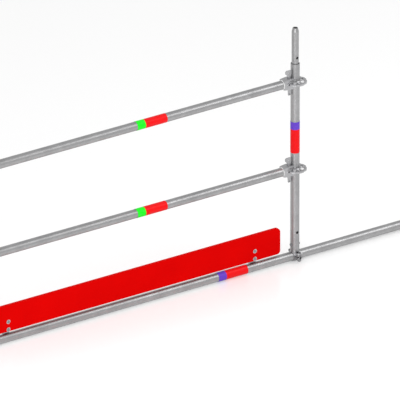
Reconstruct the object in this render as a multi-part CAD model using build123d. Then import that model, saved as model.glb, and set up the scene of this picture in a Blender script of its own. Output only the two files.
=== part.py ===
from build123d import *
import math
import os

# One bay of modular scaffold side protection: two posts clamped to a base tube,
# two rails wedged to rosettes on the posts, and a toe board hooked over the base tube.
# Millimetres. X runs along the rails, +Y to the back, +Z up.
# The origin is on the base tube's axis, halfway between the two posts.

# --- driving sizes -------------------------------------------------------------
bay_length = 2072.0            # from post axis to post axis
tube_radius = 48.3 / 2
tube_wall = 3.2

post_length = 1073.0
upper_rosette_drop = 105.0     # from the post's top to the upper rosette
rosette_spacing = 500.0
post_hole_radius = 7.5
post_hole_height = 139.0

spigot_radius = 19.0
spigot_wall = 4.0
spigot_free_length = 202.0
spigot_inserted_length = 150.0
spigot_cone_height = 20.0
spigot_tip_radius = 14.0
spigot_tip_bore = 10.0
spigot_hole_radius = 7.0
spigot_hole_rise = 35.0        # above the post's top
spigot_crimp_height = 14.0     # swaged belts that grip the post's bore

rosette_thickness = 9.0
rosette_rim = 13.0             # steel left outside the holes
rosette_web = 5.0              # steel left between the post and the holes
rosette_small_hole_width = 18.0
rosette_large_hole_width = 32.0
rosette_scallop_radius = 12.0
rosette_scallop_depth = 3.5
weld_size = 4.0

wedge_thickness = 6.0
wedge_top_width = 22.0
wedge_tip_width = 14.0
wedge_rise = 72.0              # top of the wedge above the rail's axis
wedge_drop = 70.0              # tip of the wedge below the rail's axis
wedge_head_height = 18.0
wedge_hook_reach = 10.0        # how far the head overhangs the body
wedge_eye_radius = 3.5
stop_rivet_radius = 3.5
stop_rivet_length = 12.0
stop_rivet_tip_distance = 6.0
stop_pocket_height = 16.0      # room for the stop rivet, above the rail's axis

jaw_height = 30.0              # half height of a ledger head at the wedge
jaw_tail = 20.0                # solid length behind the rosette
jaw_nose_half_width = 17.0
jaw_tail_half_width = 22.0
head_stub_length = 22.0
head_stub_wall = 5.0

clamp_thickness = 5.5
clamp_width = 40.0
collar_height = 2.2            # flat ring on the saddle that carries the post
foot_stub_length = 75.0
foot_stub_wall = 4.0
foot_rivet_radius = 6.0
foot_rivet_rise = 33.0         # above the post's lower end
foot_rivet_head_radius = 9.0
foot_rivet_head_height = 3.5

hinge_angle = 35.0             # above the horizontal, behind the base tube
knuckle_radius = 8.5
knuckle_length = 14.0
knuckle_side_length = 8.0
hinge_pin_radius = 4.0
hinge_pin_head_radius = 6.0
hinge_pin_head_height = 2.0

bolt_radius = 6.0
bolt_bar_radius = 5.0
bolt_eye_radius = 8.0
bolt_pivot_height = 17.0
bolt_tail = 4.0                # thread that shows below the nut
seat_distance = 22.0           # from the T-bolt's pivot to the nut's top face
nut_across_flats = 19.0
nut_height = 12.0
ear_thickness = 6.0
ear_radius = 9.0
ear_side_gap = 2.0
jaw_opening = 4.0              # clear height between the saddle's ears and the flap's

base_tube_length = 3500.0
base_tube_shift = 511.0        # the base tube's middle, from the bay's middle

board_end_gap = 98.0           # from a post's axis to the board's end
board_height = 150.0
board_thickness = 20.0
board_front = 11.0             # the front face, in front of the tubes' axes
board_rise = 13.4              # daylight between the base tube and the board
board_top_corner = 25.0
board_bottom_corner = 20.0
board_edge_radius = 3.0

hook_width = 36.0
hook_thickness = 5.0
hook_end_distance = 163.0      # from the board's end to the hook's middle
hook_tail = 12.0
hook_plate_height = 72.0
board_rivet_radius = 4.8
board_rivet_head_radius = 8.0
board_rivet_head_height = 2.6
board_rivet_low = 13.0         # above the board's lower edge
board_rivet_high = 57.0
washer_radius = 11.5
washer_thickness = 1.6

band_thickness = 0.8
post_band_low = 596.0
post_red_length = 135.0
post_purple_length = 43.0
rail_band_start = 30.0         # right of the rail's middle
rail_green_length = 50.0
rail_red_length = 136.0
base_band_start = 30.0         # right of the base tube's middle
base_purple_length = 48.0
base_red_length = 136.0

# --- clearances ----------------------------------------------------------------
running_gap = 0.08             # radial, a pin that turns in its hole
seat_gap = 0.15                # radial, pieces fixed to each other
free_gap = 0.3                 # pieces that slide past each other
swing_gap = 1.2                # between the nut and the clamp's shell

# --- places that follow from the sizes ------------------------------------------
post_x = bay_length / 2
tube_bore = tube_radius - tube_wall
clamp_inner = tube_radius + seat_gap
clamp_outer = clamp_inner + clamp_thickness
post_bottom = clamp_outer + collar_height
post_top = post_bottom + post_length
upper_height = post_top - upper_rosette_drop
rail_heights = {"lower": upper_height - rosette_spacing, "upper": upper_height}

wedge_inner = tube_radius + rosette_web + 2 * free_gap
wedge_neck = wedge_rise - wedge_head_height
wedge_slope = (wedge_top_width - wedge_tip_width) / (wedge_neck + wedge_drop)
wedge_hole_start = wedge_inner - free_gap
wedge_hole_end = (
    wedge_inner + wedge_tip_width + free_gap + wedge_slope * (wedge_drop + rosette_thickness)
)
rosette_radius = wedge_hole_end + rosette_rim
jaw_slot_end = rosette_radius + 1.5
jaw_end = jaw_slot_end + jaw_tail

nut_corner_radius = nut_across_flats / math.sqrt(3)
bolt_y = -(clamp_outer + swing_gap + nut_corner_radius)
ear_inner = bolt_radius + ear_side_gap
ear_outer = ear_inner + ear_thickness
knuckle_distance = clamp_outer + 0.7 * knuckle_radius
knuckle_y = knuckle_distance * math.cos(math.radians(hinge_angle))
knuckle_z = knuckle_distance * math.sin(math.radians(hinge_angle))
knuckle_end = knuckle_length / 2 + free_gap + knuckle_side_length

board_length = bay_length - 2 * board_end_gap
board_bottom = tube_radius + board_rise
board_back = board_thickness - board_front
hook_x = board_length / 2 - hook_end_distance
rivet_heights = [board_bottom + board_rivet_low, board_bottom + board_rivet_high]


# --- helpers ---------------------------------------------------------------------
def along_x(shape):
    return Rot(0, 90, 0) * shape


def along_y(shape):
    return Rot(90, 0, 0) * shape


def tube(outer, inner, length):
    return Cylinder(outer, length) - Cylinder(inner, length)


def across_y(points, width):
    """A plate with its outline in X and Z, centred on Y = 0."""
    return extrude(Plane.XZ * Polygon(*points, align=None), width / 2, both=True)


def across_x(outline, width):
    """A plate with its outline in Y and Z, centred on X = 0."""
    return extrude(Plane.YZ * outline, width / 2, both=True)


def ring_sector(inner, outer, start, end):
    outer_arc = CenterArc((0, 0), outer, start, end - start)
    inner_arc = CenterArc((0, 0), inner, start, end - start)
    first = Line(inner_arc @ 0, outer_arc @ 0)
    last = Line(outer_arc @ 1, inner_arc @ 1)
    return make_face([outer_arc.edge(), last.edge(), inner_arc.edge(), first.edge()])


def rivet(shank_radius, grip, head_radius, head_height):
    """A rivet along Z, with a rounded head at each end of its grip."""
    shape = Cylinder(shank_radius, grip)
    head = Cylinder(head_radius, head_height)
    head = fillet(head.edges().sort_by(Axis.Z)[-1], head_height * 0.6)
    upper = Pos(0, 0, (grip + head_height) / 2) * head
    return shape + upper + mirror(upper, Plane.XY)


def at_each_end(make):
    """The left piece as made, from the post's axis towards +X, and its turned twin."""
    return {
        "left": Pos(-post_x, 0, 0) * make(),
        "right": Pos(post_x, 0, 0) * Rot(0, 0, 180) * make(),
    }


# --- posts -------------------------------------------------------------------------
def post_tube():
    middle = (post_bottom + post_top) / 2
    shape = Pos(0, 0, middle) * tube(tube_radius, tube_bore, post_length)
    hole_length = 4 * tube_radius
    shape -= Pos(0, 0, post_hole_height) * along_y(Cylinder(post_hole_radius, hole_length))
    rivet_hole = along_x(Cylinder(foot_rivet_radius + seat_gap, hole_length))
    return shape - Pos(0, 0, post_bottom + foot_rivet_rise) * rivet_hole


def top_spigot():
    """A swaged tube: the lower part sits in the post, the coned end takes the next post."""
    low = post_top - spigot_inserted_length
    cone_start = post_top + spigot_free_length - spigot_cone_height
    straight = cone_start - low
    shape = Pos(0, 0, low + straight / 2) * Cylinder(spigot_radius, straight)
    tip = Cone(spigot_radius, spigot_tip_radius, spigot_cone_height)
    shape += Pos(0, 0, cone_start + spigot_cone_height / 2) * tip
    for rise in (spigot_crimp_height, spigot_inserted_length - spigot_crimp_height):
        belt = Cylinder(tube_bore - seat_gap, spigot_crimp_height)
        shape += Pos(0, 0, low + rise) * belt
    bore_length = straight - spigot_wall
    shape -= Pos(0, 0, low + bore_length / 2) * Cylinder(spigot_radius - spigot_wall, bore_length)
    mouth = Cylinder(spigot_tip_bore, 2 * spigot_cone_height + 2 * spigot_wall)
    shape -= Pos(0, 0, cone_start) * mouth
    hole = along_y(Cylinder(spigot_hole_radius, 4 * spigot_radius))
    return shape - Pos(0, 0, post_top + spigot_hole_rise) * hole


def rosette_hole(width):
    length = wedge_hole_end - wedge_hole_start
    middle = (wedge_hole_end + wedge_hole_start) / 2
    outline = Pos(middle, 0) * RectangleRounded(length, width, 4)
    return extrude(outline, rosette_thickness, both=True)


def rosette(height):
    """A disc with four small and four large wedge holes and a scalloped rim."""
    shape = Cylinder(rosette_radius, rosette_thickness)
    small = rosette_hole(rosette_small_hole_width)
    hole_middle = (wedge_hole_end + wedge_hole_start) / 2
    notch = Cylinder(rosette_scallop_radius, 2 * rosette_thickness)
    notch_place = rosette_radius + rosette_scallop_radius - rosette_scallop_depth
    spread = math.degrees((rosette_large_hole_width - rosette_small_hole_width) / 2 / hole_middle)
    for quarter in range(4):
        turn = 90 * quarter
        shape -= Rot(0, 0, turn) * small
        for offset in (-spread, 0, spread):
            shape -= Rot(0, 0, turn + 45 + offset) * small
        for side in (-1, 1):
            shape -= Rot(0, 0, turn + side * 22.5) * Pos(notch_place, 0, 0) * notch
    bead = Cone(tube_radius + weld_size, tube_radius + seat_gap, weld_size)
    bead = Pos(0, 0, (rosette_thickness + weld_size) / 2) * bead
    shape += bead
    shape += mirror(bead, Plane.XY)
    shape -= Cylinder(tube_radius + seat_gap, 4 * rosette_thickness)
    return Pos(0, 0, height) * shape


# --- foot clamp --------------------------------------------------------------------
def knuckle(radius, start, length):
    barrel = along_x(Cylinder(radius, length))
    return Pos(start + length / 2, knuckle_y, knuckle_z) * barrel


def paired_ears(outline):
    plate = across_x(outline, ear_thickness)
    middle = (ear_inner + ear_outer) / 2
    return Pos(middle, 0, 0) * plate + Pos(-middle, 0, 0) * plate


def clamp_saddle():
    """The upper jaw, with a stub that stands in the post and ears for the T-bolt."""
    shell_end = 180 - math.degrees(math.asin((bolt_pivot_height - ear_radius) / clamp_outer))
    shape = across_x(ring_sector(clamp_inner, clamp_outer, hinge_angle + 5, shell_end), clamp_width)
    ear_low = bolt_pivot_height - ear_radius
    ear_high = bolt_pivot_height + ear_radius
    web = Polygon(
        (bolt_y, ear_low), (-tube_radius, ear_low), (-0.5 * tube_radius, ear_high), (bolt_y, ear_high),
        align=None,
    )
    shape += paired_ears(web + Pos(bolt_y, bolt_pivot_height) * Circle(ear_radius))
    for start in (-knuckle_end, knuckle_length / 2 + free_gap):
        shape += knuckle(knuckle_radius, start, knuckle_side_length)
    stub_radius = tube_bore - seat_gap
    stub_top = post_bottom + foot_stub_length
    stub_low = post_bottom / 2
    shape += Pos(0, 0, 1.5 * stub_low) * Cylinder(tube_radius, stub_low)
    shape += Pos(0, 0, (stub_low + stub_top) / 2) * Cylinder(stub_radius, stub_top - stub_low)
    hollow = Cylinder(stub_radius - foot_stub_wall, foot_stub_length)
    shape -= Pos(0, 0, post_bottom + foot_stub_length / 2) * hollow
    shape -= along_x(Cylinder(clamp_inner, 2 * clamp_width))
    rivet_hole = along_x(Cylinder(foot_rivet_radius + seat_gap, 4 * tube_radius))
    shape -= Pos(0, 0, post_bottom + foot_rivet_rise) * rivet_hole
    shape -= knuckle(knuckle_radius + free_gap, -knuckle_length / 2 - free_gap, knuckle_length + 2 * free_gap)
    shape -= knuckle(hinge_pin_radius + running_gap, -clamp_width, 2 * clamp_width)
    bar_hole = along_x(Cylinder(bolt_bar_radius + running_gap, 4 * ear_outer))
    shape -= Pos(0, bolt_y, bolt_pivot_height) * bar_hole
    bolt_room = Box(2 * ear_inner, 4 * ear_radius, 4 * ear_radius)
    room_y = -clamp_outer - free_gap - 2 * ear_radius
    return shape - Pos(0, room_y, bolt_pivot_height) * bolt_room


def clamp_flap():
    """The lower jaw: hinged behind the base tube, with a fork for the T-bolt in front."""
    fork_top = bolt_pivot_height - ear_radius - jaw_opening
    shell_start = 180 - math.degrees(math.asin(fork_top / clamp_outer))
    shape = across_x(ring_sector(clamp_inner, clamp_outer, shell_start, 355 + hinge_angle), clamp_width)
    fork = Polygon(
        (bolt_y - ear_radius, fork_top), (-tube_radius, fork_top),
        (-tube_radius, -seat_distance), (bolt_y - ear_radius, -seat_distance),
        align=None,
    )
    seat = Pos(bolt_y, bolt_pivot_height) * Circle(seat_distance - free_gap)
    gusset_width = swing_gap - free_gap + clamp_outer - tube_radius
    gusset_height = fork_top + 0.6 * tube_radius
    gusset_y = -tube_radius - gusset_width / 2
    gusset = Pos(gusset_y, fork_top - gusset_height / 2) * Rectangle(gusset_width, gusset_height)
    shape += paired_ears((fork & seat) + gusset)
    shape += knuckle(knuckle_radius, -knuckle_length / 2, knuckle_length)
    shape -= along_x(Cylinder(clamp_inner, 2 * clamp_width))
    for start in (-knuckle_end - free_gap, knuckle_length / 2):
        shape -= knuckle(knuckle_radius + free_gap, start, knuckle_side_length + 2 * free_gap)
    return shape - knuckle(hinge_pin_radius + running_gap, -clamp_width, 2 * clamp_width)


def hinge_pin():
    pin = rivet(hinge_pin_radius, 2 * (knuckle_end + free_gap), hinge_pin_head_radius, hinge_pin_head_height)
    return Pos(0, knuckle_y, knuckle_z) * along_x(pin)


def foot_rivet():
    grip = 2 * (tube_radius + seat_gap)
    pin = rivet(foot_rivet_radius, grip, foot_rivet_head_radius, foot_rivet_head_height)
    return Pos(0, 0, post_bottom + foot_rivet_rise) * along_x(pin)


def t_bolt():
    """A bolt forged with a cross bar, which turns in the saddle's ears."""
    shape = along_x(Cylinder(bolt_bar_radius, 2 * ear_outer))
    shape += along_x(Cylinder(bolt_eye_radius, 2 * (ear_inner - free_gap)))
    length = seat_distance + nut_height + bolt_tail
    shape += Pos(0, 0, -length / 2) * Cylinder(bolt_radius, length)
    return Pos(0, bolt_y, bolt_pivot_height) * shape


def bolt_nut():
    """A hexagon nut with a round washer face on top."""
    face_height = nut_height / 6
    hexagon = extrude(RegularPolygon(nut_corner_radius, 6), nut_height - face_height)
    shape = hexagon + Pos(0, 0, nut_height - face_height / 2) * Cylinder(nut_corner_radius, face_height)
    shape -= Cylinder(bolt_radius + running_gap, 4 * nut_height)
    return Pos(0, bolt_y, bolt_pivot_height - seat_distance - nut_height) * shape


# --- rails ---------------------------------------------------------------------------
def wedge_outer(height, gap):
    """How far the wedge's sloping edge is from the post's axis at a height on the rail."""
    return wedge_inner + wedge_tip_width + gap + wedge_slope * (height + wedge_drop)


def ledger_head(height):
    """A cast jaw that straddles the rosette, with a stub in the rail's tube."""
    profile = [
        (0, -0.8 * jaw_height), (wedge_inner, -jaw_height), (wedge_hole_end, -jaw_height),
        (jaw_end, -tube_radius), (jaw_end, tube_radius), (wedge_hole_end, jaw_height),
        (wedge_inner, jaw_height), (0, 0.8 * jaw_height),
    ]
    shape = across_y(profile, 4 * jaw_tail_half_width)
    plan = Polygon(
        (0, -jaw_nose_half_width), (jaw_slot_end, -jaw_tail_half_width), (jaw_end, -jaw_tail_half_width),
        (jaw_end, jaw_tail_half_width), (jaw_slot_end, jaw_tail_half_width), (0, jaw_nose_half_width),
        align=None,
    )
    shape &= extrude(plan, 2 * jaw_height, both=True)
    stub_radius = tube_bore - seat_gap
    shape += Pos(jaw_end + head_stub_length / 2, 0, 0) * along_x(
        tube(stub_radius, stub_radius - head_stub_wall, head_stub_length)
    )
    shape -= Cylinder(tube_radius + free_gap, 4 * jaw_height)
    slot_height = rosette_thickness + 2 * (free_gap + weld_size)
    near_slot = Cylinder(tube_radius + weld_size + free_gap, slot_height)
    far_slot = Pos(jaw_slot_end / 2, 0, 0) * Box(
        jaw_slot_end, 4 * jaw_tail_half_width, rosette_thickness + 2 * free_gap
    )
    shape -= near_slot
    shape -= far_slot
    top_slot = across_y(
        [
            (wedge_inner - free_gap, 0), (wedge_outer(0, free_gap), 0),
            (wedge_outer(wedge_rise, free_gap), wedge_rise), (wedge_inner - free_gap, wedge_rise),
        ],
        wedge_thickness + 2 * free_gap,
    )
    low_slot = across_y(
        [
            (wedge_inner - free_gap, stop_pocket_height), (wedge_outer(0, free_gap), stop_pocket_height),
            (wedge_outer(0, free_gap), -wedge_rise), (wedge_inner - free_gap, -wedge_rise),
        ],
        stop_rivet_length + 4 * free_gap,
    )
    return Pos(0, 0, height) * (shape - top_slot - low_slot)


def wedge(height):
    """A flat tapered wedge with a hooked head; its inner edge is upright."""
    hook = wedge_outer(wedge_neck, 0) + wedge_hook_reach
    outline = [
        (wedge_inner, -wedge_drop), (wedge_outer(-wedge_drop, 0), -wedge_drop),
        (wedge_outer(wedge_neck - wedge_hook_reach, 0), wedge_neck - wedge_hook_reach),
        (hook, wedge_neck), (hook, wedge_rise - wedge_head_height / 3),
        (hook - wedge_head_height / 3, wedge_rise), (wedge_inner, wedge_rise),
    ]
    shape = across_y(outline, wedge_thickness)
    eye_place = wedge_inner + wedge_top_width / 2
    shape -= Pos(eye_place, 0, wedge_neck) * along_y(Cylinder(wedge_eye_radius, 2 * wedge_thickness))
    hole = along_y(Cylinder(stop_rivet_radius + seat_gap, 2 * wedge_thickness))
    shape -= Pos(stop_rivet_place(), 0, stop_rivet_height()) * hole
    return Pos(0, 0, height) * shape


def stop_rivet_place():
    return wedge_inner + wedge_tip_width / 2


def stop_rivet_height():
    return stop_rivet_tip_distance - wedge_drop


def stop_rivet(height):
    pin = along_y(Cylinder(stop_rivet_radius, stop_rivet_length))
    return Pos(stop_rivet_place(), 0, height + stop_rivet_height()) * pin


def rail_tube(height):
    length = bay_length - 2 * jaw_end
    return Pos(0, 0, height) * along_x(tube(tube_radius, tube_bore, length))


# --- base tube and toe board ------------------------------------------------------------
def base_tube():
    return Pos(base_tube_shift, 0, 0) * along_x(tube(tube_radius, tube_bore, base_tube_length))


def toe_board():
    outline = Rectangle(board_length, board_height)
    corners = outline.vertices().group_by(Axis.Y)
    outline = fillet(corners[-1], board_top_corner)
    outline = fillet(outline.vertices().group_by(Axis.Y)[0], board_bottom_corner)
    shape = extrude(Plane.XZ * outline, board_thickness / 2, both=True)
    rims = shape.faces().filter_by(Axis.Y).edges()
    shape = fillet(rims, board_edge_radius)
    for place in (-hook_x, hook_x):
        for rise in (board_rivet_low, board_rivet_high):
            hole = along_y(Cylinder(board_rivet_radius + seat_gap, 2 * board_thickness))
            shape -= Pos(place, 0, rise - board_height / 2) * hole
    middle_y = (board_back - board_front) / 2
    return Pos(0, middle_y, board_bottom + board_height / 2) * shape


def board_hook(place):
    """A bent strap behind the board, which lies over the base tube and down its back."""
    inner = tube_radius + free_gap
    outer = inner + hook_thickness
    lean = math.degrees(math.acos(board_back / outer))
    plate_low = math.sqrt(inner ** 2 - board_back ** 2) + 1
    plate_high = board_bottom + hook_plate_height
    plate = Pos(board_back + hook_thickness / 2, (plate_low + plate_high) / 2) * Rectangle(
        hook_thickness, plate_high - plate_low
    )
    tail = Pos((inner + outer) / 2, -hook_tail / 2) * Rectangle(hook_thickness, hook_tail)
    outline = ring_sector(inner, outer, 0, lean) + plate + tail
    shape = across_x(outline, hook_width)
    for height in rivet_heights:
        hole = along_y(Cylinder(board_rivet_radius + seat_gap, 4 * board_thickness))
        shape -= Pos(0, 0, height) * hole
    return Pos(place, 0, 0) * shape


def board_fasteners():
    grip = board_thickness + hook_thickness + washer_thickness
    middle_y = board_back + hook_thickness - grip / 2
    pins = []
    washers = []
    for place in (-hook_x, hook_x):
        for height in rivet_heights:
            pin = rivet(board_rivet_radius, grip, board_rivet_head_radius, board_rivet_head_height)
            pins.append(Pos(place, middle_y, height) * along_y(pin))
            washer = tube(washer_radius, board_rivet_radius + seat_gap, washer_thickness)
            washer_y = -board_front - washer_thickness / 2
            washers.append(Pos(place, washer_y, height) * along_y(washer))
    return Compound(children=pins), Compound(children=washers)


def band(length):
    inner = tube_radius + seat_gap
    return tube(inner + band_thickness, inner, length)


def colour_bands():
    purple_low = post_band_low + post_red_length
    base_start = base_tube_shift + base_band_start
    post_red = []
    post_purple = []
    rail_green = []
    rail_red = []
    for place in (-post_x, post_x):
        post_red.append(Pos(place, 0, post_band_low + post_red_length / 2) * band(post_red_length))
        post_purple.append(Pos(place, 0, purple_low + post_purple_length / 2) * band(post_purple_length))
    for height in rail_heights.values():
        red_start = rail_band_start + rail_green_length
        green = along_x(band(rail_green_length))
        red = along_x(band(rail_red_length))
        rail_green.append(Pos(rail_band_start + rail_green_length / 2, 0, height) * green)
        rail_red.append(Pos(red_start + rail_red_length / 2, 0, height) * red)
    base_purple = Pos(base_start + base_purple_length / 2, 0, 0) * along_x(band(base_purple_length))
    red_middle = base_start + base_purple_length + base_red_length / 2
    return {
        "post_bands_red": Compound(children=post_red),
        "post_bands_purple": Compound(children=post_purple),
        "rail_bands_green": Compound(children=rail_green),
        "rail_bands_red": Compound(children=rail_red),
        "base_band_purple": base_purple,
        "base_band_red": Pos(red_middle, 0, 0) * along_x(band(base_red_length)),
    }


# --- the assembly ------------------------------------------------------------------------
def make_parts():
    parts = {"base_tube": base_tube(), "toe_board": toe_board()}
    end_pieces = {
        "post_tube": post_tube,
        "top_spigot": top_spigot,
        "foot_rivet": foot_rivet,
    }
    for name, make in end_pieces.items():
        for side, shape in at_each_end(make).items():
            parts[f"{side}_{name}"] = shape
    foot_pieces = {
        "clamp_saddle": clamp_saddle,
        "clamp_flap": clamp_flap,
        "flap_hinge_pin": hinge_pin,
        "t_bolt": t_bolt,
        "t_bolt_nut": bolt_nut,
    }
    for name, make in foot_pieces.items():
        for side, place in (("left", -post_x), ("right", post_x)):
            parts[f"{side}_{name}"] = Pos(place, 0, 0) * make()
    for level, height in rail_heights.items():
        parts[f"{level}_rail_tube"] = rail_tube(height)
        rail_pieces = {
            "rosette": rosette,
            "ledger_head": ledger_head,
            "wedge": wedge,
            "wedge_stop_rivet": stop_rivet,
        }
        for name, make in rail_pieces.items():
            for side, shape in at_each_end(lambda: make(height)).items():
                parts[f"{side}_{level}_{name}"] = shape
    for side, place in (("left", -hook_x), ("right", hook_x)):
        parts[f"{side}_board_hook"] = board_hook(place)
    parts["board_rivets"], parts["board_washers"] = board_fasteners()
    parts.update(colour_bands())
    return parts


def save_parts():
    os.makedirs("parts", exist_ok=True)
    for name, shape in make_parts().items():
        export_step(shape, f"parts/{name}.step")
        print(name)


save_parts()
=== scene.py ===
# %% [markdown]
# This file dresses one bay of scaffold side protection: two posts, two rails, a base
# tube and a red toe board. The shapes that carry load come from the construction
# model, which is loaded here as a fixed frame. Blender adds the finishes, and the
# small worked details that a construction model leaves out.

# %% Load the fixed frame
import math

import bpy
from mathutils import Matrix, Vector


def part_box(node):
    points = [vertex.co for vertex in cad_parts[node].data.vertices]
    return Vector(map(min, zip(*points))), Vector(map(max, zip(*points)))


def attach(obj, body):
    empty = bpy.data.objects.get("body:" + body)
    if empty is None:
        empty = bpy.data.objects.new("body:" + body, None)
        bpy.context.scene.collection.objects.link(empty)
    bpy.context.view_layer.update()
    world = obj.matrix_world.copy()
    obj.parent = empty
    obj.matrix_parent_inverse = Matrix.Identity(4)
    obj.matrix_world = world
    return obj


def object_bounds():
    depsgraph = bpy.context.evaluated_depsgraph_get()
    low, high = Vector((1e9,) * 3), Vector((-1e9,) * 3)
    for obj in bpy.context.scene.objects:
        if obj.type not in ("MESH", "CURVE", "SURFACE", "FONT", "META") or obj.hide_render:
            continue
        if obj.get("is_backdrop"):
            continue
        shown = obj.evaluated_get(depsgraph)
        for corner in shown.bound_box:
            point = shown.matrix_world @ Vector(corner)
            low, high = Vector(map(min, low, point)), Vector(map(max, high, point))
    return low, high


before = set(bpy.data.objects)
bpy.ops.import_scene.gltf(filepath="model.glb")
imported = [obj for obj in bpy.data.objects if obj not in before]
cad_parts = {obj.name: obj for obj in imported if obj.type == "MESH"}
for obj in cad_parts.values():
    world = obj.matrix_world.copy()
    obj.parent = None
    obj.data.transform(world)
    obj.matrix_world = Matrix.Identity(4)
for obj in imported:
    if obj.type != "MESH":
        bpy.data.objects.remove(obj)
cad_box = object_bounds()
MM = 0.001
print("pieces in the frame:", len(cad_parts))


# %% [markdown]
# Every colour is written as the sRGB hex value that a painter would read off a swatch.
# Cycles works in linear light, so one function turns the hex value into linear numbers.

# %% One function for colours
def swatch(hex_value):
    channels = [int(hex_value[i:i + 2], 16) / 255 for i in (0, 2, 4)]
    linear = [c / 12.92 if c <= 0.04045 else ((c + 0.055) / 1.055) ** 2.4 for c in channels]
    return (*linear, 1.0)


print("mid grey in linear light:", round(swatch("808080")[0], 3))


# %% [markdown]
# A material or a geometry tree is a set of nodes. One small function adds a node, sets
# its options and plain inputs, and links its other inputs, so that each recipe below
# reads from top to bottom like a work sheet.

# %% One function for nodes
def add(tree, kind, options=None, **inputs):
    node = tree.nodes.new(kind)
    for name, value in (options or {}).items():
        setattr(node, name, value)
    for name, value in inputs.items():
        key = int(name[1:]) if name[0] == "i" and name[1:].isdigit() else name.replace("_", " ")
        if isinstance(value, bpy.types.NodeSocket):
            tree.links.new(value, node.inputs[key])
        else:
            node.inputs[key].default_value = value
    return node


def ramp(tree, factor, stops):
    """A colour ramp: stops are (place, colour) pairs, and the first two replace its own."""
    node = add(tree, "ShaderNodeValToRGB", Fac=factor)
    for i, (place, colour) in enumerate(stops):
        stop = node.color_ramp.elements[i] if i < 2 else node.color_ramp.elements.new(place)
        stop.position = place
        stop.color = colour
    return node.outputs["Color"]


def new_material(name):
    material = bpy.data.materials.new(name)
    material.use_nodes = True
    material.node_tree.nodes.clear()
    return material, material.node_tree


def finish_surface(tree, shader):
    add(tree, "ShaderNodeOutputMaterial", Surface=shader)


# %% [markdown]
# Hot-dip galvanised steel is dipped in molten zinc. The zinc freezes into crystals, the
# spangle, about 10 mm wide, each a slightly different grey, and dulls to a satin grey
# with cloudy patches and fine runs. A Voronoi texture gives each crystal its own value,
# and noise gives the clouds. The place on the piece drives both, so they never slide.
# The eye gets a soft metal with bright edges, and not a mirror or a flat grey. Forgings
# and plates are a little brighter than the tubes, and a fresh weld is darker.

# %% Galvanised steel
WARPS_PER_METRE = 60.0
WARP_REACH = 4 * MM
CLOUDS_PER_METRE = 14.0
GRAINS_PER_METRE = 900.0
CRYSTAL_SHARE = 0.16
GRAIN_SHARE = 0.12
DARKEST_TONE = 0.35
LIGHTEST_TONE = 0.95
ROUGHNESS_SPREAD = 0.04


def galvanised(name, dark, light, spangle_mm, roughness, bump_mm):
    material, tree = new_material(name)
    place = add(tree, "ShaderNodeTexCoord").outputs["Object"]
    warp = add(tree, "ShaderNodeTexNoise", Vector=place, Scale=WARPS_PER_METRE, Detail=2.0)
    bent = add(tree, "ShaderNodeVectorMath", {"operation": "MULTIPLY_ADD"},
               i0=warp.outputs["Color"], i1=(WARP_REACH,) * 3, i2=place)
    crystals = add(tree, "ShaderNodeTexVoronoi", Vector=bent.outputs["Vector"],
                   Scale=1 / (spangle_mm * MM))
    crystal = add(tree, "ShaderNodeSeparateColor", Color=crystals.outputs["Color"]).outputs[0]
    clouds = add(tree, "ShaderNodeTexNoise", Vector=place, Scale=CLOUDS_PER_METRE,
                 Detail=5.0, Roughness=0.6)
    grain = add(tree, "ShaderNodeTexNoise", Vector=place, Scale=GRAINS_PER_METRE, Detail=3.0)
    tone = add(tree, "ShaderNodeMath", {"operation": "MULTIPLY_ADD"},
               i0=crystal, i1=CRYSTAL_SHARE, i2=clouds.outputs["Fac"])
    tone = add(tree, "ShaderNodeMath", {"operation": "MULTIPLY_ADD"},
               i0=grain.outputs["Fac"], i1=GRAIN_SHARE, i2=tone.outputs[0])
    colour = ramp(tree, tone.outputs[0],
                  [(DARKEST_TONE, swatch(dark)), (LIGHTEST_TONE, swatch(light))])
    rough = add(tree, "ShaderNodeMapRange", i0=tone.outputs[0], i1=DARKEST_TONE, i2=LIGHTEST_TONE,
                i3=roughness + ROUGHNESS_SPREAD, i4=roughness - ROUGHNESS_SPREAD)
    bump = add(tree, "ShaderNodeBump", Height=tone.outputs[0], Distance=bump_mm * MM, Strength=0.6)
    shader = add(tree, "ShaderNodeBsdfPrincipled", Base_Color=colour, Metallic=1.0,
                 Roughness=rough.outputs[0], Normal=bump.outputs[0])
    finish_surface(tree, shader.outputs[0])
    return material


tube_steel = galvanised("hot_dip_galvanised_tube", "979798", "ababac", 9, 0.4, 0.008)
plate_steel = galvanised("hot_dip_galvanised_plate", "a0a0a2", "b8b8ba", 12, 0.34, 0.02)
forged_steel = galvanised("galvanised_forging", "a0a0a2", "b8b8ba", 5, 0.36, 0.1)
zinc_steel = galvanised("zinc_plated_steel", "808082", "98989a", 3, 0.33, 0.02)
washer_steel = galvanised("bright_zinc_washer", "b4b4b6", "d0d0d2", 3, 0.3, 0.02)
weld_steel = galvanised("galvanised_weld_bead", "58585a", "6a6a6c", 4, 0.6, 0.1)
steels = (tube_steel, plate_steel, forged_steel, zinc_steel, washer_steel, weld_steel)
print("metal finishes:", [steel.name for steel in steels])


# %% [markdown]
# The toe board is timber, sealed and painted red. Paint on timber isn't flat: the grain
# runs along the board and telegraphs through as faint ridges, and the colour drifts a
# little from one part to the next. A stretched noise gives the grain, 3 mm across and
# long along X. The paint is a full, even red with little gloss.

# %% Painted timber
FIBRES_ALONG = 12.0
FIBRES_ACROSS = 300.0
DRIFTS_PER_METRE = 5.0


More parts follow.
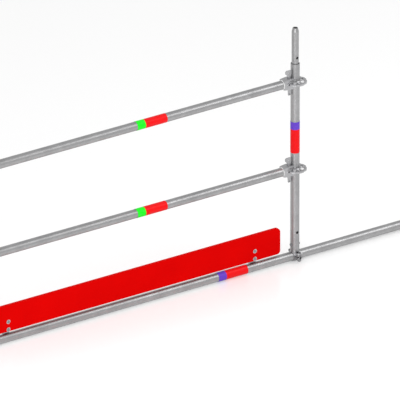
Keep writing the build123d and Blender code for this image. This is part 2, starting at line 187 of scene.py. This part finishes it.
def painted_timber():
    material, tree = new_material("red_painted_timber")
    place = add(tree, "ShaderNodeTexCoord").outputs["Object"]
    stretched = add(tree, "ShaderNodeMapping", Vector=place,
                    Scale=(FIBRES_ALONG, FIBRES_ACROSS, FIBRES_ACROSS))
    fibres = add(tree, "ShaderNodeTexNoise", Vector=stretched.outputs[0], Scale=1.0, Detail=4.0)
    drift = add(tree, "ShaderNodeTexNoise", Vector=place, Scale=DRIFTS_PER_METRE, Detail=3.0)
    tone = add(tree, "ShaderNodeMath", {"operation": "MULTIPLY_ADD"},
               i0=fibres.outputs["Fac"], i1=0.4, i2=drift.outputs["Fac"])
    paint = ramp(tree, tone.outputs[0], [(0.4, swatch("d00000")), (1.0, swatch("dc0100"))])
    rough = add(tree, "ShaderNodeMapRange", i0=tone.outputs[0], i1=0.3, i2=1.0, i3=0.5, i4=0.38)
    bump = add(tree, "ShaderNodeBump", Height=fibres.outputs["Fac"], Distance=0.15 * MM, Strength=0.5)
    shader = add(tree, "ShaderNodeBsdfPrincipled", Base_Color=paint, Roughness=rough.outputs[0],
                 Specular_IOR_Level=0.02, Normal=bump.outputs[0])
    finish_surface(tree, shader.outputs[0])
    return material


board_paint = painted_timber()
print("board finish:", board_paint.name)


# %% [markdown]
# The colour marks are thin plastic sleeves shrunk on to the tubes, one colour for each
# length of tube, so that a crew can sort them at a glance. Shrunk film is glossy, with a
# slight orange-peel ripple and a few scuffs. The ripple is noise about 4 mm across.

# %% Shrunk plastic sleeves
RIPPLES_PER_METRE = 250.0
SCUFFS_PER_METRE = 70.0


def sleeve(name, colour_hex, scuff_hex):
    material, tree = new_material(name)
    place = add(tree, "ShaderNodeTexCoord").outputs["Object"]
    ripple = add(tree, "ShaderNodeTexNoise", Vector=place, Scale=RIPPLES_PER_METRE, Detail=2.0)
    scuffs = add(tree, "ShaderNodeTexNoise", Vector=place, Scale=SCUFFS_PER_METRE,
                 Detail=6.0, Roughness=0.7)
    colour = ramp(tree, scuffs.outputs["Fac"],
                  [(0.5, swatch(colour_hex)), (0.8, swatch(scuff_hex))])
    rough = add(tree, "ShaderNodeMapRange", i0=scuffs.outputs["Fac"], i1=0.3, i2=0.8, i3=0.3, i4=0.5)
    bump = add(tree, "ShaderNodeBump", Height=ripple.outputs["Fac"], Distance=0.1 * MM, Strength=0.4)
    shader = add(tree, "ShaderNodeBsdfPrincipled", Base_Color=colour, Roughness=rough.outputs[0],
                 Specular_IOR_Level=0.15, Normal=bump.outputs[0])
    finish_surface(tree, shader.outputs[0])
    return material


red_sleeve = sleeve("red_shrunk_sleeve", "ec0c12", "dc2024")
green_sleeve = sleeve("green_shrunk_sleeve", "18f022", "48dc50")
purple_sleeve = sleeve("purple_shrunk_sleeve", "6440c4", "7a5cc8")
print("sleeve finishes:", [red_sleeve.name, green_sleeve.name, purple_sleeve.name])


# %% [markdown]
# Each piece of the frame now gets its finish. The rule reads the piece's own name, so a
# piece on the left and its twin on the right always match.

# %% Give each piece its finish
def finish_for(name):
    rules = [
        ("toe_board", board_paint), ("bands_red", red_sleeve), ("band_red", red_sleeve),
        ("green", green_sleeve), ("purple", purple_sleeve), ("rivet", zinc_steel),
        ("washers", washer_steel), ("pin", zinc_steel), ("t_bolt", zinc_steel),
        ("ledger_head", forged_steel), ("clamp", forged_steel), ("wedge", plate_steel),
        ("rosette", plate_steel), ("hook", plate_steel),
    ]
    return next((finish for word, finish in rules if word in name), tube_steel)


for name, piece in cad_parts.items():
    piece.data.materials.clear()
    piece.data.materials.append(finish_for(name))
print("finished pieces:", len(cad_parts))


# %% [markdown]
# Where a tube meets a forged head, the welder lays a row of small overlapping puddles
# round the joint. Geometry Nodes place one small round puddle at each step round a ring,
# so the bead can be made finer or wider by its named inputs. A ring of separate puddles
# looks right where a smooth torus would look like a rubber seal.

# %% A bead of weld puddles
def weld_tree():
    tree = bpy.data.node_groups.new("weld_bead", "GeometryNodeTree")
    face = tree.interface
    face.new_socket("Geometry", in_out="INPUT", socket_type="NodeSocketGeometry")
    for label, value in (("Ring radius", 0.024), ("Puddle radius", 0.003)):
        face.new_socket(label, in_out="INPUT", socket_type="NodeSocketFloat").default_value = value
    face.new_socket("Puddles", in_out="INPUT", socket_type="NodeSocketInt").default_value = 40
    face.new_socket("Geometry", in_out="OUTPUT", socket_type="NodeSocketGeometry")
    entry = add(tree, "NodeGroupInput")
    ring = add(tree, "GeometryNodeCurvePrimitiveCircle", Resolution=entry.outputs["Puddles"],
               Radius=entry.outputs["Ring radius"])
    points = add(tree, "GeometryNodeCurveToPoints", {"mode": "COUNT"},
                 Curve=ring.outputs[0], Count=entry.outputs["Puddles"])
    puddle = add(tree, "GeometryNodeMeshIcoSphere", Radius=entry.outputs["Puddle radius"], Subdivisions=2)
    size = add(tree, "FunctionNodeRandomValue", {"data_type": "FLOAT"}, i2=0.85, i3=1.1, Seed=7)
    laid = add(tree, "GeometryNodeInstanceOnPoints", Points=points.outputs["Points"],
               Instance=puddle.outputs[0], Rotation=points.outputs["Rotation"], Scale=size.outputs[1])
    real = add(tree, "GeometryNodeRealizeInstances", Geometry=laid.outputs[0])
    smooth = add(tree, "GeometryNodeSetShadeSmooth", Geometry=real.outputs[0])
    coat = add(tree, "GeometryNodeSetMaterial", Geometry=smooth.outputs[0], Material=weld_steel)
    add(tree, "NodeGroupOutput", Geometry=coat.outputs[0])
    return tree


def grown(name, tree, values, places):
    """Evaluates the tree once, then joins one plain copy of its mesh at each place."""
    seed_mesh = bpy.data.meshes.new(name + "_seed")
    piece = bpy.data.objects.new(name, seed_mesh)
    bpy.context.scene.collection.objects.link(piece)
    modifier = piece.modifiers.new("grow", "NODES")
    modifier.node_group = tree
    for item in tree.interface.items_tree:
        if item.item_type == "SOCKET" and item.in_out == "INPUT" and item.name in values:
            modifier[item.identifier] = values[item.name]
    evaluated = piece.evaluated_get(bpy.context.evaluated_depsgraph_get())
    once = bpy.data.meshes.new_from_object(evaluated)
    piece.modifiers.remove(modifier)
    points = []
    faces = []
    for place in places:
        start = len(points)
        points += [place @ v.co for v in once.vertices]
        faces += [[start + i for i in f.vertices] for f in once.polygons]
    mesh = bpy.data.meshes.new(name)
    mesh.from_pydata(points, [], faces)
    mesh.materials.append(once.materials[0])
    mesh.shade_smooth()
    piece.data = mesh
    print(name, "faces:", len(faces))
    return piece


# %% [markdown]
# The beads go where the rails' tubes butt against their heads. The ring lies in the
# plane across the tube, so each place turns it to face along X. The tube's radius and
# the joints' places are read from the frame's own boxes.

# %% Weld beads on the rails
BEAD_SINK = 0.5 * MM
PUDDLE_RADIUS = 2.6 * MM
PUDDLES = 44


def tube_radius_of(node):
    low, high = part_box(node)
    return (high.y - low.y) / 2


face_x = Matrix.Rotation(math.radians(90), 4, "Y")
rail_radius = tube_radius_of("upper_rail_tube")
joints = []
for level in ("upper", "lower"):
    low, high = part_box(f"{level}_rail_tube")
    middle_z = (low.z + high.z) / 2
    joints += [Matrix.Translation((x, 0, middle_z)) @ face_x for x in (low.x, high.x)]
bead_sizes = {"Ring radius": rail_radius - BEAD_SINK, "Puddle radius": PUDDLE_RADIUS,
              "Puddles": PUDDLES}
rail_welds = grown("rail_weld_beads", weld_tree(), bead_sizes, joints)
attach(rail_welds, "frame")


# %% [markdown]
# A T-bolt's thread is a helical ridge. Geometry Nodes wind a spiral curve round the
# shank and sweep a small diamond along it. The pitch is a little coarse, 2 mm, so that
# the thread still shows in a view of the whole clamp.

# %% Threads on the T-bolts
def thread_tree():
    tree = bpy.data.node_groups.new("bolt_thread", "GeometryNodeTree")
    face = tree.interface
    face.new_socket("Geometry", in_out="INPUT", socket_type="NodeSocketGeometry")
    for label, value in (("Radius", 0.006), ("Length", 0.012), ("Turns", 6.0), ("Ridge", 0.0006)):
        face.new_socket(label, in_out="INPUT", socket_type="NodeSocketFloat").default_value = value
    face.new_socket("Geometry", in_out="OUTPUT", socket_type="NodeSocketGeometry")
    entry = add(tree, "NodeGroupInput")
    spiral = add(tree, "GeometryNodeCurveSpiral", Resolution=32, Rotations=entry.outputs["Turns"],
                 Start_Radius=entry.outputs["Radius"], End_Radius=entry.outputs["Radius"],
                 Height=entry.outputs["Length"])
    ridge = add(tree, "GeometryNodeCurvePrimitiveCircle", Resolution=4, Radius=entry.outputs["Ridge"])
    swept = add(tree, "GeometryNodeCurveToMesh", Curve=spiral.outputs[0],
                Profile_Curve=ridge.outputs[0], Fill_Caps=True)
    real = add(tree, "GeometryNodeRealizeInstances", Geometry=swept.outputs[0])
    coat = add(tree, "GeometryNodeSetMaterial", Geometry=real.outputs[0], Material=zinc_steel)
    add(tree, "NodeGroupOutput", Geometry=coat.outputs[0])
    return tree


SHANK_TO_HEAD = 6 / 16
THREAD_PITCH = 2.0 * MM
RIDGE = 0.35 * MM
thread = thread_tree()
for side in ("left", "right"):
    bolt_low, bolt_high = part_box(f"{side}_t_bolt")
    nut_low, nut_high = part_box(f"{side}_t_bolt_nut")
    centre = (nut_low + nut_high) / 2
    tail = nut_low.z - bolt_low.z - 2 * RIDGE
    start = Matrix.Translation((centre.x, centre.y, bolt_low.z + RIDGE))
    shank = (bolt_high.y - bolt_low.y) * SHANK_TO_HEAD
    sizes = {"Radius": shank, "Length": tail, "Turns": tail / THREAD_PITCH, "Ridge": RIDGE}
    ridges = grown(f"{side}_bolt_thread", thread, sizes, [start])
    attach(ridges, f"{side}_bolt")


# %% [markdown]
# The floor is a plain pale sheet, just under the lowest clamp. It is slightly glossy, so
# it holds a faint reflection. Part of its paleness is its own light, seen only by the
# camera and in reflections, so the backdrop reads white while the shadow stays.

# %% Pale floor
FLOOR_GAP = 1 * MM
FLOOR_GLOW = 0.26
floor_z = cad_box[0][2] - FLOOR_GAP
FLOOR_HALF = 30.0


def seen_directly(tree):
    """1 for what the camera, a reflection or a clear piece sees, and 0 for plain lighting."""
    rays = add(tree, "ShaderNodeLightPath")
    some = add(tree, "ShaderNodeMath", {"operation": "MAXIMUM"},
               i0=rays.outputs["Is Camera Ray"], i1=rays.outputs["Is Glossy Ray"])
    return add(tree, "ShaderNodeMath", {"operation": "MAXIMUM"},
               i0=some.outputs[0], i1=rays.outputs["Is Transmission Ray"]).outputs[0]


floor_finish, tree = new_material("pale_studio_floor")
sheet = add(tree, "ShaderNodeBsdfPrincipled", Base_Color=swatch("ececec"), Roughness=0.22)
glow_strength = add(tree, "ShaderNodeMath", {"operation": "MULTIPLY"},
                    i0=seen_directly(tree), i1=FLOOR_GLOW)
glow = add(tree, "ShaderNodeEmission", Strength=glow_strength.outputs[0])
floor_shader = add(tree, "ShaderNodeAddShader", i0=sheet.outputs[0], i1=glow.outputs[0])
finish_surface(tree, floor_shader.outputs[0])

corners = [(-1, -1), (1, -1), (1, 1), (-1, 1)]
floor_mesh = bpy.data.meshes.new("studio_floor")
floor_mesh.from_pydata([(x * FLOOR_HALF, y * FLOOR_HALF, floor_z) for x, y in corners], [], [(0, 1, 2, 3)])
floor_mesh.materials.append(floor_finish)
floor = bpy.data.objects.new("studio_floor", floor_mesh)
bpy.context.scene.collection.objects.link(floor)
floor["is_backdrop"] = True
print("floor height:", round(floor_z, 4), "m")


# %% [markdown]
# A studio's white walls light the part from all round and show white behind it. The world
# does both jobs. What is seen directly is full white, and the light that it throws is a
# little lower, so that the lamps still shape the tubes.

# %% White surroundings
AMBIENT = 0.86
world = bpy.data.worlds.new("white_studio")
bpy.context.scene.world = world
world.use_nodes = True
sky = world.node_tree
sky.nodes.clear()
level = add(sky, "ShaderNodeMapRange", i0=seen_directly(sky), i1=0.0, i2=1.0, i3=AMBIENT, i4=1.0)
backdrop = add(sky, "ShaderNodeBackground", Strength=level.outputs[0])
add(sky, "ShaderNodeOutputWorld", Surface=backdrop.outputs[0])
print("light from all round:", AMBIENT)


# %% [markdown]
# Two large soft lamps shape the tubes: a key in front on the left and a weaker fill on the
# right. Big lamps far away keep the shadows soft.

# %% Soft lamps
def soft_lamp(name, place, target, size, power):
    lamp = bpy.data.lights.new(name, "AREA")
    lamp.shape = "DISK"
    lamp.size = size
    lamp.energy = power
    holder = bpy.data.objects.new(name, lamp)
    bpy.context.scene.collection.objects.link(holder)
    holder.location = place
    holder.rotation_euler = (Vector(target) - Vector(place)).to_track_quat("-Z", "Y").to_euler()
    return holder


middle = (Vector(cad_box[0]) + Vector(cad_box[1])) / 2
KEY_PLACE, KEY_SIZE, KEY_WATTS = Vector((-4.0, -5.0, 3.0)), 4.0, 240
FILL_PLACE, FILL_SIZE, FILL_WATTS = Vector((4.0, -3.0, 4.0)), 3.0, 80
key = soft_lamp("key_lamp", middle + KEY_PLACE, middle, KEY_SIZE, KEY_WATTS)
fill = soft_lamp("fill_lamp", middle + FILL_PLACE, middle, FILL_SIZE, FILL_WATTS)
print("lamps:", key.name, KEY_WATTS, "W,", fill.name, FILL_WATTS, "W")


# %% [markdown]
# The camera stands far off to the front left, with a long lens, so that upright and level
# lines stay nearly parallel. Its aim is given from the right post's foot, along the
# camera's own right and up directions. The view width is the width of the slice of the
# scene that fills the frame, and the distance follows from it and the lens.

# %% Camera
AZIMUTH = math.radians(-34.2)
ELEVATION = math.radians(24.7)
LENS_MM = 1500.0
SENSOR_MM = 36.0
VIEW_WIDTH = 2.0992
AIM_RIGHT = -0.4969856
AIM_UP = 0.28864

back = Vector((
    math.sin(AZIMUTH) * math.cos(ELEVATION),
    -math.cos(AZIMUTH) * math.cos(ELEVATION),
    math.sin(ELEVATION),
))
right = Vector((math.cos(AZIMUTH), math.sin(AZIMUTH), 0))
up = back.cross(right)
post_low, post_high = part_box("right_post_tube")
foot = Vector(((post_low.x + post_high.x) / 2, (post_low.y + post_high.y) / 2, 0))
aim = foot + right * AIM_RIGHT + up * AIM_UP
distance = LENS_MM / SENSOR_MM * VIEW_WIDTH

camera_data = bpy.data.cameras.new("camera")
camera_data.lens = LENS_MM
camera_data.sensor_width = SENSOR_MM
camera_data.clip_end = 2 * distance
camera = bpy.data.objects.new("camera", camera_data)
bpy.context.scene.collection.objects.link(camera)
camera.location = aim + back * distance
camera.rotation_euler = (-back).to_track_quat("-Z", "Y").to_euler()
bpy.context.scene.camera = camera
bpy.context.scene.view_settings.view_transform = "Standard"
print("camera distance:", round(distance, 2), "m")


# %% [markdown]
# Last, the sizes of the construction model and of the dressed model are printed side by
# side, so that a maker can see that the dressing changed no dimension.

# %% Print the sizes and finish
dressed_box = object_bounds()
sizes = {
    "cad": [list(corner) for corner in cad_box],
    "visual": [list(corner) for corner in dressed_box],
}
print("size before and after:", cad_box, dressed_box)
